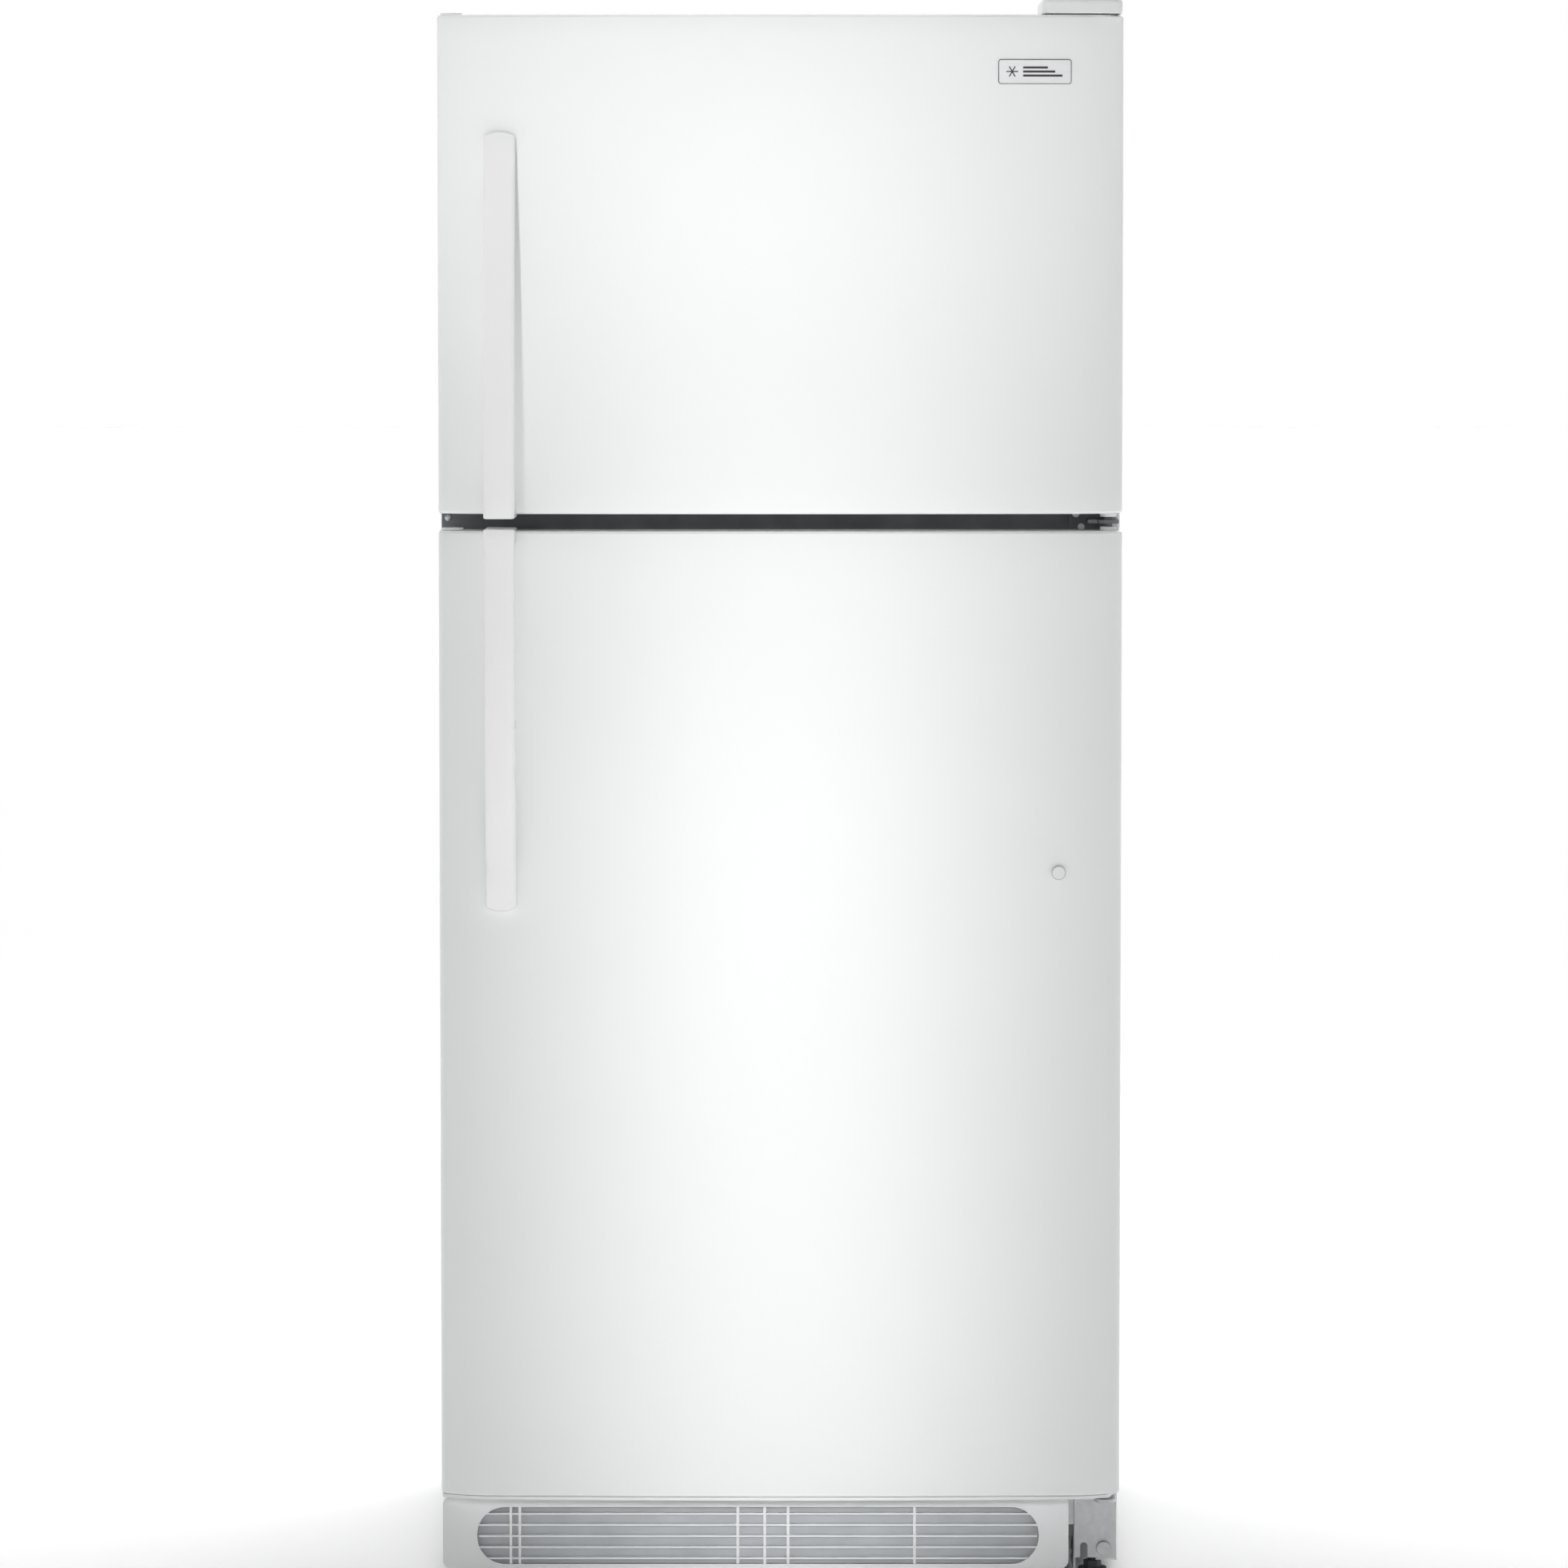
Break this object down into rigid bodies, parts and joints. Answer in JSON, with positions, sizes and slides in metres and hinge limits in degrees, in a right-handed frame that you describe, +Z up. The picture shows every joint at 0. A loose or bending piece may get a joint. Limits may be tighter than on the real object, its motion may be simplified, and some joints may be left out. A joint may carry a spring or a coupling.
{
  "type": "top freezer refrigerator",
  "caption": "Two-door top freezer refrigerator in white with arched handles, shelves, crispers, door bins, cooling circuit and rolling base.",
  "frame": {"origin": "centre of the footprint at floor level, the handles' front and the back cover included", "axes": "+Z up, -Y towards the doors' front, +X towards the hinge side"},
  "size_m": [0.752, 0.815, 1.759],
  "materials": {
    "white_enamel": "gloss enamel with a very fine orange-peel",
    "galvanised_steel": "dull zinc",
    "dark_fibreboard": "pressed black board",
    "insulation_foam": "rigid foam",
    "liner_plastic": "smooth vacuum-formed plastic",
    "dark_steel": "dark grey coating",
    "bare_aluminium": "mill finish",
    "black_plastic": "moulded",
    "white_wire": "plastic-coated wire",
    "white_plastic": "moulded, satin",
    "lamp_glass": "frosted",
    "shelf_rim_plastic": "moulded rim",
    "shelf_glass": "tempered, clear",
    "clear_plastic": "clear moulded",
    "grey_plastic": "moulded",
    "black_enamel": "baked black",
    "mount_rubber": "soft rubber",
    "copper_tube": "bare copper",
    "grille_plastic": "moulded light grey",
    "gasket_rubber": "soft white seal",
    "handle_plastic": "moulded white",
    "badge_metal": "satin"
  },
  "bodies": {
    "cabinet": {"cabinet_wrapper": "white_enamel", "rear_panel": "galvanised_steel", "rear_cover": "dark_fibreboard", "base_frame": "galvanised_steel", "cabinet_insulation": "insulation_foam", "freezer_liner": "liner_plastic", "fresh_food_liner": "liner_plastic", "mullion_rail": "dark_steel", "evaporator_cover": "liner_plastic", "evaporator_coil": "bare_aluminium", "evaporator_fan_motor": "dark_steel", "defrost_heater": "dark_steel", "freezer_shelf": "white_wire", "control_housing": "white_plastic", "interior_light": "lamp_glass", "shelf_frames": "shelf_rim_plastic", "shelf_glass": "shelf_glass", "compressor": "black_enamel", "compressor_mounts": "mount_rubber", "condenser_coil": "black_enamel", "condenser_fan_motor": "galvanised_steel", "drain_pan": "black_plastic", "refrigerant_lines": "copper_tube", "power_inlet": "black_plastic", "toe_grille": "grille_plastic", "top_hinge": "galvanised_steel", "hinge_cover": "white_plastic", "centre_hinge": "dark_steel", "lower_hinge": "galvanised_steel", "cabinet_screws": "galvanised_steel"},
    "evaporator_fan": {"evaporator_fan_blade": "black_plastic"},
    "temperature_knob": {"temperature_knob": "white_plastic"},
    "light_switch": {"light_switch_plunger": "white_plastic"},
    "crisper_left": {"crisper_left": "clear_plastic"},
    "crisper_right": {"crisper_right": "clear_plastic"},
    "humidity_slide_left": {"humidity_slide_left": "grey_plastic"},
    "humidity_slide_right": {"humidity_slide_right": "grey_plastic"},
    "deli_drawer": {"deli_drawer": "clear_plastic"},
    "condenser_fan": {"condenser_fan_blade": "black_plastic"},
    "front_roller_left": {"front_roller_left": "grey_plastic"},
    "front_roller_right": {"front_roller_right": "grey_plastic"},
    "rear_rollers": {"rear_rollers": "grey_plastic"},
    "levelling_leg_left": {"levelling_leg_left": "black_plastic"},
    "levelling_leg_right": {"levelling_leg_right": "black_plastic"},
    "freezer_door": {"freezer_door_panel": "white_enamel", "freezer_door_foam": "insulation_foam", "freezer_door_liner": "liner_plastic", "freezer_door_gasket": "gasket_rubber", "freezer_door_caps": "white_plastic", "freezer_door_bins": "clear_plastic", "freezer_door_handle": "handle_plastic", "badge_plate": "badge_metal"},
    "fridge_door": {"fridge_door_panel": "white_enamel", "fridge_door_foam": "insulation_foam", "fridge_door_liner": "liner_plastic", "fridge_door_gasket": "gasket_rubber", "fridge_door_caps": "white_plastic", "fridge_door_bins": "clear_plastic", "fridge_door_handle": "handle_plastic"},
    "dairy_lid": {"dairy_lid": "clear_plastic"}
  },
  "joints": [
    {"name": "freezer_door_hinge", "type": "hinge", "parent": "cabinet", "child": "freezer_door", "pos_m": [0.361, -0.32, 1.467], "axis": [0, 0, 1], "range_deg": [0, 130]},
    {"name": "fridge_door_hinge", "type": "hinge", "parent": "cabinet", "child": "fridge_door", "pos_m": [0.361, -0.32, 0.64], "axis": [0, 0, 1], "range_deg": [0, 130]},
    {"name": "dairy_lid_hinge", "type": "hinge", "parent": "fridge_door", "child": "dairy_lid", "pos_m": [0, -0.198, 1.108], "axis": [1, 0, 0], "range_deg": [0, 85]},
    {"name": "crisper_left_slide", "type": "slide", "parent": "cabinet", "child": "crisper_left", "axis": [0, -1, 0], "range_m": [0, 0.055]},
    {"name": "crisper_right_slide", "type": "slide", "parent": "cabinet", "child": "crisper_right", "axis": [0, -1, 0], "range_m": [0, 0.055]},
    {"name": "deli_drawer_slide", "type": "slide", "parent": "cabinet", "child": "deli_drawer", "axis": [0, -1, 0], "range_m": [0, 0.05]},
    {"name": "humidity_slide_left_travel", "type": "slide", "parent": "cabinet", "child": "humidity_slide_left", "axis": [1, 0, 0], "range_m": [0, 0.03]},
    {"name": "humidity_slide_right_travel", "type": "slide", "parent": "cabinet", "child": "humidity_slide_right", "axis": [1, 0, 0], "range_m": [0, 0.03]},
    {"name": "temperature_knob_turn", "type": "hinge", "parent": "cabinet", "child": "temperature_knob", "pos_m": [-0.07, -0.0603, 1.12], "axis": [0, -1, 0], "range_deg": [0, 270]},
    {"name": "light_switch_travel", "type": "slide", "parent": "cabinet", "child": "light_switch", "axis": [0, 1, 0], "range_m": [0, 0.006], "stiffness_N_per_m": 150},
    {"name": "evaporator_fan_spin", "type": "hinge", "parent": "cabinet", "child": "evaporator_fan", "pos_m": [0, 0.29, 1.595], "axis": [0, 1, 0], "continuous": true},
    {"name": "condenser_fan_spin", "type": "hinge", "parent": "cabinet", "child": "condenser_fan", "pos_m": [0.02, 0.29, 0.15], "axis": [1, 0, 0], "continuous": true},
    {"name": "front_roller_left_spin", "type": "hinge", "parent": "cabinet", "child": "front_roller_left", "pos_m": [-0.315, -0.215, 0.02], "axis": [1, 0, 0], "continuous": true},
    {"name": "front_roller_right_spin", "type": "hinge", "parent": "cabinet", "child": "front_roller_right", "pos_m": [0.315, -0.215, 0.02], "axis": [1, 0, 0], "continuous": true},
    {"name": "rear_rollers_spin", "type": "hinge", "parent": "cabinet", "child": "rear_rollers", "pos_m": [0, 0.33, 0.02], "axis": [1, 0, 0], "continuous": true},
    {"name": "levelling_leg_left_travel", "type": "slide", "parent": "cabinet", "child": "levelling_leg_left", "axis": [0, 0, -1], "range_m": [0, 0.012]},
    {"name": "levelling_leg_right_travel", "type": "slide", "parent": "cabinet", "child": "levelling_leg_right", "axis": [0, 0, -1], "range_m": [0, 0.012]}
  ]
}
